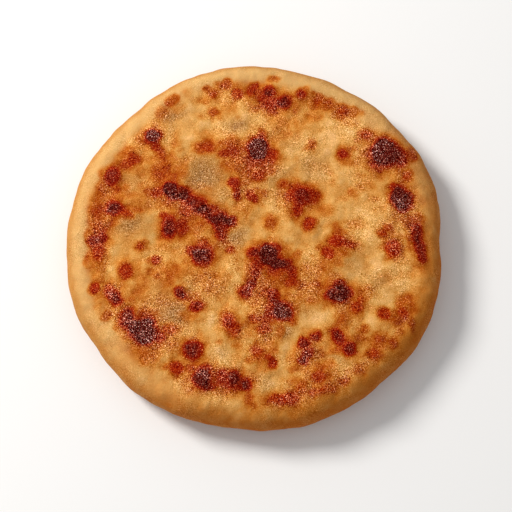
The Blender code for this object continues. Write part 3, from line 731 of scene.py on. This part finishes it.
def make_paratha():
    mesh = lumpy_mesh()
    finish_crust(mesh)
    mesh.materials.append(crust_material())
    paratha = link_new("paratha_crust", mesh)
    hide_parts("paratha")
    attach(paratha, "root")


# ---------------------------------------------------------------- looks of the crust


def srgb(red, green, blue):
    """A colour given in the 0 to 255 of a screen, as the linear one that a shader takes."""
    def linear(value):
        value /= 255
        return value / 12.92 if value <= 0.04045 else ((value + 0.055) / 1.055) ** 2.4
    return (linear(red), linear(green), linear(blue), 1.0)


SCREEN_GAMMA = 2.2

# The crust's colours as a screen shows them, from the palest dough at 0 to char at 1
BROWNING_STEPS = (
    (0.00, srgb(238, 181, 113)),
    (0.12, srgb(227, 168, 93)),
    (0.24, srgb(214, 146, 69)),
    (0.36, srgb(201, 122, 44)),
    (0.48, srgb(185, 99, 25)),
    (0.60, srgb(168, 76, 6)),
    (0.72, srgb(153, 51, 2)),
    (0.84, srgb(131, 29, 2)),
    (1.00, srgb(68, 9, 12)),
)
# The greyish tone: partly thinner crust, partly painted shade in the hollows
THIN_AND_SHADED_TONE = srgb(164, 112, 58)
# The rim's and the side's tones: the side's are darker than the rim's, which is painted shade, and the
# toasted pair also paints shade on the side away from the lamp
TOASTED_AND_SHADED_SIDE_TONE = srgb(170, 84, 12)
TOASTED_AND_SHADED_RIM_TONE = srgb(192, 112, 34)
CREAMY_SHADED_SIDE_TONE = srgb(180, 122, 59)
CREAMY_RIM_TONE = srgb(214, 169, 107)
# The foot's tone: partly toasting, partly painted shade
FOOT_TOAST_AND_SHADE_TONE = srgb(150, 78, 20)
TOAST_AND_SHADE_COVER, CREAMY_COVER, FOOT_TOAST_AND_SHADE_COVER = 0.70, 0.80, 0.6  # how fully each covers what is below
WINE_TINGE = (0.05, -0.045, -0.12)  # what the darkest spots add to red, green and blue

# How browned the crust looks where nothing marks it, and what each mark adds
BARE_DOUGH = 0.155
# The rim's mark darkens the side away from the lamp: partly toasting, partly painted shade
MARKS = (("browning", 0.80), ("gold", 0.17), ("pale", -0.22), ("toast_and_shade", 0.12))
# The curds' share darkens their hollows and lightens their crests: painted shade and painted light
MOTTLING_SHARE, FLECK_SHARE, CURD_SHADING_SHARE = 0.46, 0.40, -0.13

# Noise: features to the metre, and detail
GRAIN = (3200, 0)
COARSE_GRAIN = (420, 1)
FLECKS = (330, 1)
MOTTLING = (130, 3)
ROUGH_PATCHES = (75, 2)
SAND_SCALE = 3100.0

# How one measure follows another: from this low, to this high, and what it is at each
SPOT_IN_BROWNING = (0.10, 0.60)
DOUGH_IN_BROWNING = (0.40, 0.10)
TOAST_AND_SHADE_IN_BROWNING = (0.45, 0.10)
CREAM_IN_BROWNING = (0.35, 0.05)
WINE_IN_BROWNING = (0.42, 0.80)
# Painted glints: bright specks on the darkest spots that stand in for highlights
PAINTED_GLINTS_IN_BROWNING = (0.60, 0.90)
FLECKS_IN_BROWNING = (0.05, 0.35, 0.35, 1.0)
UNEVENNESS_IN_BROWNING = (0.30, 0.65, 1.0, 0.35)
ROUGHNESS_IN_NOISE = (-0.10, 0.12, 0.30, 0.96)
SPOT_ROUGHNESS = (0.30, 0.96, 0.62, 1.12)
ROUGHNESS_IN_RIM = (0.1, 0.6, 1.0, 0.35)
CRUMB_SHAPE = (0.05, 0.40, 0.70, 1.26)
PAINTED_GLINTS_IN_CRUMB = (0.16, 0.42, 0.0, 0.20)
CRUMB_IN_LEVEL = (0.12, 0.50, 0.70, 1.18)
SHINE_IN_BROWNING = (0.2, 0.9, 0.60, 0.45)

GRAIN_SHARE, SAND_SHARE = 1.05, 0.36  # what the crumbs are made up of
BUMP_GRAIN, BUMP_COARSE = 0.5, 0.6  # what the bumps are made up of
BUMP_STRENGTH = 0.6
BUMP_HEIGHT = 0.0008
GLOSS = 0.02
TRANSLUCENCY = 0.08
LIGHT_DEPTH = (0.0012, 0.0006, 0.0003)  # how deep red, green and blue light go into the dough


# ---------------------------------------------------------------- shader nodes


def add(tree, kind, inputs=None, **settings):
    """A new node with these settings; an input is given a value, or the socket that feeds it."""
    made = tree.nodes.new(kind)
    for name, value in settings.items():
        setattr(made, name, value)
    for name, value in (inputs or {}).items():
        if isinstance(value, bpy.types.NodeSocket):
            tree.links.new(value, made.inputs[name])
        else:
            made.inputs[name].default_value = value
    return made


def maths(tree, operation, first, second=0.0):
    return add(tree, "ShaderNodeMath", {0: first, 1: second}, operation=operation).outputs[0]


def product(tree, first, second):
    return maths(tree, "MULTIPLY", first, second)


def weighed(tree, start, parts):
    """The start value plus each part times its weight."""
    total = start
    for value, weight in parts:
        inputs = {0: value, 1: weight, 2: total}
        total = add(tree, "ShaderNodeMath", inputs, operation="MULTIPLY_ADD").outputs[0]
    return total


def mixed(tree, share, first, second):
    """Two colours mixed by a share; the sockets' places are those of the node's colour form."""
    inputs = {0: share, 6: first, 7: second}
    return add(tree, "ShaderNodeMix", inputs, data_type="RGBA").outputs[2]


def ranged(tree, value, low, high, to_low=0.0, to_high=1.0):
    """The value mapped smoothly from one range to another, and held at the ends."""
    inputs = {"Value": value, "From Min": low, "From Max": high, "To Min": to_low, "To Max": to_high}
    return add(tree, "ShaderNodeMapRange", inputs, interpolation_type="SMOOTHSTEP").outputs["Result"]


def speckle(tree, place, scale, detail):
    """Noise of that many features to the metre, centred on 0."""
    inputs = {"Vector": place, "Scale": scale, "Detail": detail}
    return maths(tree, "SUBTRACT", add(tree, "ShaderNodeTexNoise", inputs).outputs["Fac"], 0.5)


def attribute(tree, name):
    return add(tree, "ShaderNodeAttribute", attribute_name=name).outputs["Fac"]


def lightened(tree, colour, amount):
    """The colour with this much added to its red, green and blue as a screen shows them."""
    shown = add(tree, "ShaderNodeGamma", {"Color": colour, "Gamma": 1 / SCREEN_GAMMA}).outputs[0]
    shifted = add(tree, "ShaderNodeVectorMath", {0: shown, 1: amount}, operation="ADD").outputs[0]
    shifted = add(tree, "ShaderNodeVectorMath", {0: shifted}, operation="MAXIMUM").outputs[0]
    return add(tree, "ShaderNodeGamma", {"Color": shifted, "Gamma": SCREEN_GAMMA}).outputs[0]


# ---------------------------------------------------------------- crust


def browned_level(tree, place, browning):
    """How browned the crust looks: its marks, and an unevenness that the darkest spots show least."""
    flecks = product(tree, speckle(tree, place, *FLECKS), ranged(tree, browning, *FLECKS_IN_BROWNING))
    mottling = speckle(tree, place, *MOTTLING)
    # The curds darken the hollows and lighten the crests of the colour: painted shade and painted
    # light
    curds = attribute(tree, "curds")
    uneven = ((mottling, MOTTLING_SHARE), (flecks, FLECK_SHARE), (curds, CURD_SHADING_SHARE))
    uneven = product(tree, weighed(tree, 0.0, uneven), ranged(tree, browning, *UNEVENNESS_IN_BROWNING))
    marks = [(attribute(tree, name), weight) for name, weight in MARKS]
    return weighed(tree, BARE_DOUGH, marks + [(uneven, 1.0)])


def browned_colour(tree, level):
    ramp = add(tree, "ShaderNodeValToRGB", {"Fac": level})
    elements = ramp.color_ramp.elements
    elements[0].position, elements[0].color = BROWNING_STEPS[0]
    elements[1].position, elements[1].color = BROWNING_STEPS[-1]
    for position, colour in BROWNING_STEPS[1:-1]:
        elements.new(position).color = colour
    return ramp.outputs["Color"]


def rim_colour(tree, colour, browning):
    """The smooth rim and side: golden brown on the side away from the lamp, partly toasting and partly
    painted shade; creamy where it only dried; and browner at its foot, partly toasting and partly
    painted shade. The side's tones are darker than the rim's, which is painted shade."""
    on_top = attribute(tree, "top")
    # The darker side away from the lamp: partly toasting, partly painted shade
    toasted_and_shaded = product(tree, attribute(tree, "toast_and_shade"), ranged(tree, browning, *TOAST_AND_SHADE_IN_BROWNING))
    toasted_and_shaded_tone = mixed(tree, on_top, TOASTED_AND_SHADED_SIDE_TONE, TOASTED_AND_SHADED_RIM_TONE)
    colour = mixed(tree, product(tree, toasted_and_shaded, TOAST_AND_SHADE_COVER), colour, toasted_and_shaded_tone)
    creamy = product(tree, attribute(tree, "cream"), ranged(tree, browning, *CREAM_IN_BROWNING))
    # The creamy side's tone is darker than the rim's: painted shade that holds back the lamp on the
    # side facing it
    creamy_tone = mixed(tree, on_top, CREAMY_SHADED_SIDE_TONE, CREAMY_RIM_TONE)
    colour = mixed(tree, product(tree, creamy, CREAMY_COVER), colour, creamy_tone)
    # The darker foot: partly toasting, partly painted shade
    return mixed(tree, product(tree, attribute(tree, "low"), FOOT_TOAST_AND_SHADE_COVER), colour, FOOT_TOAST_AND_SHADE_TONE)


def crumb_strength(tree, place, browning, thin_and_shaded):
    """Crumbs show most on the spots, and least on the rim and where the dough is smooth."""
    rough = ranged(tree, speckle(tree, place, *ROUGH_PATCHES), *ROUGHNESS_IN_NOISE)
    in_spot = ranged(tree, browning, *SPOT_IN_BROWNING)
    rough_spot = product(tree, in_spot, ranged(tree, rough, *SPOT_ROUGHNESS))
    rim = maths(tree, "ADD", attribute(tree, "toast_and_shade"), attribute(tree, "cream"))
    rough = product(tree, rough, ranged(tree, rim, *ROUGHNESS_IN_RIM))
    return maths(tree, "MAXIMUM", rough, maths(tree, "MAXIMUM", thin_and_shaded, rough_spot))


def crumbs(tree, place, grain, browning):
    """Fine light and dark crumbs, centred on 0, and on the darkest spots a few painted glints: bright
    specks that stand in for the sparkle of oily crumbs.
    """
    cells = add(tree, "ShaderNodeTexVoronoi", {"Vector": place, "Scale": SAND_SCALE}).outputs["Color"]
    red = add(tree, "ShaderNodeSeparateColor", {"Color": cells}).outputs["Red"]
    sand = maths(tree, "SUBTRACT", red, 0.5)
    crumb = weighed(tree, 0.0, ((grain, GRAIN_SHARE), (sand, SAND_SHARE)))
    crumb = product(tree, crumb, ranged(tree, maths(tree, "ABSOLUTE", crumb), *CRUMB_SHAPE))
    # Painted glints: bright specks added to the colour in place of highlights
    dark = ranged(tree, browning, *PAINTED_GLINTS_IN_BROWNING)
    return maths(tree, "ADD", crumb, product(tree, ranged(tree, crumb, *PAINTED_GLINTS_IN_CRUMB), dark))


def crumbed_colour(tree, colour, crumb, browning):
    """The colour with its crumbs, and a tinge of wine on the darkest spots."""
    wine = {0: ranged(tree, browning, *WINE_IN_BROWNING), 1: WINE_TINGE, 2: crumb}
    added = add(tree, "ShaderNodeVectorMath", wine, operation="MULTIPLY_ADD").outputs[0]
    return lightened(tree, colour, added)


def crust_material():
    material = bpy.data.materials.new("baked_crust")
    material.use_nodes = True
    tree = material.node_tree
    shader = tree.nodes["Principled BSDF"]
    place = add(tree, "ShaderNodeTexCoord").outputs["Object"]
    browning = attribute(tree, "browning")
    grain = speckle(tree, place, *GRAIN)

    level = browned_level(tree, place, browning)
    # Greyish places: partly thinner crust, partly painted shade in the hollows
    thin_and_shaded = product(tree, attribute(tree, "thin_and_hollow_shade"), ranged(tree, browning, *DOUGH_IN_BROWNING))
    colour = mixed(tree, thin_and_shaded, browned_colour(tree, level), THIN_AND_SHADED_TONE)
    colour = rim_colour(tree, colour, browning)
    strength = crumb_strength(tree, place, browning, thin_and_shaded)
    strength = product(tree, strength, ranged(tree, level, *CRUMB_IN_LEVEL))
    crumb = product(tree, crumbs(tree, place, grain, browning), strength)
    tree.links.new(crumbed_colour(tree, colour, crumb, browning), shader.inputs["Base Color"])

    roughness = ranged(tree, maths(tree, "ADD", browning, grain), *SHINE_IN_BROWNING)
    tree.links.new(roughness, shader.inputs["Roughness"])
    shader.inputs["Specular IOR Level"].default_value = GLOSS
    shader.inputs["Subsurface Weight"].default_value = TRANSLUCENCY
    shader.inputs["Subsurface Radius"].default_value = LIGHT_DEPTH
    shader.inputs["Subsurface Scale"].default_value = 1.0

    coarse = speckle(tree, place, *COARSE_GRAIN)
    bumps = maths(tree, "ADD", product(tree, grain, BUMP_GRAIN), product(tree, coarse, BUMP_COARSE))
    inputs = {"Strength": BUMP_STRENGTH, "Distance": BUMP_HEIGHT, "Height": bumps}
    bump = add(tree, "ShaderNodeBump", inputs)
    tree.links.new(bump.outputs["Normal"], shader.inputs["Normal"])
    return material


# ---------------------------------------------------------------- studio


def table_material():
    material = bpy.data.materials.new("pale_table")
    material.use_nodes = True
    shader = material.node_tree.nodes["Principled BSDF"]
    shader.inputs["Base Color"].default_value = TABLE_COLOUR
    shader.inputs["Roughness"].default_value = TABLE_ROUGHNESS
    return material


def make_table():
    top = bmesh.new()
    bmesh.ops.create_grid(top, x_segments=1, y_segments=1, size=TABLE_HALF_WIDTH)
    mesh = bpy.data.meshes.new("table")
    top.to_mesh(mesh)
    top.free()
    mesh.materials.append(table_material())
    link_new("table", mesh)


def turn_to(thing, back):
    """Turns a lamp or a camera so that it looks the opposite way of back."""
    thing.rotation_mode = "QUATERNION"
    thing.rotation_quaternion = back.to_track_quat("Z", "Y")


def make_lamp():
    lamp = bpy.data.lights.new("key", "AREA")
    lamp.shape = "DISK"
    lamp.size = LAMP_SIZE
    lamp.energy = LAMP_WATTS
    lamp.color = LAMP_COLOUR
    thing = link_new("key", lamp)
    thing.location = LAMP_PLACE
    turn_to(thing, LAMP_PLACE)


def make_sky():
    world = bpy.data.worlds.new("studio")
    world.use_nodes = True
    background = world.node_tree.nodes["Background"]
    background.inputs["Color"].default_value = SKY_COLOUR
    background.inputs["Strength"].default_value = SKY_STRENGTH
    bpy.context.scene.world = world


def make_studio():
    bpy.context.scene.view_settings.view_transform = "Standard"
    make_table()
    make_lamp()
    make_sky()


def make_camera():
    camera = bpy.data.cameras.new("camera")
    camera.lens = CAMERA_LENS
    camera.clip_start, camera.clip_end = CAMERA_CLIP
    eye = link_new("camera", camera)
    back = Vector((0.0, -math.cos(CAMERA_ELEVATION), math.sin(CAMERA_ELEVATION)))
    eye.location = CAMERA_AIM + back * CAMERA_DISTANCE
    turn_to(eye, back)
    bpy.context.scene.camera = eye


make_camera()
make_paratha()
make_studio()
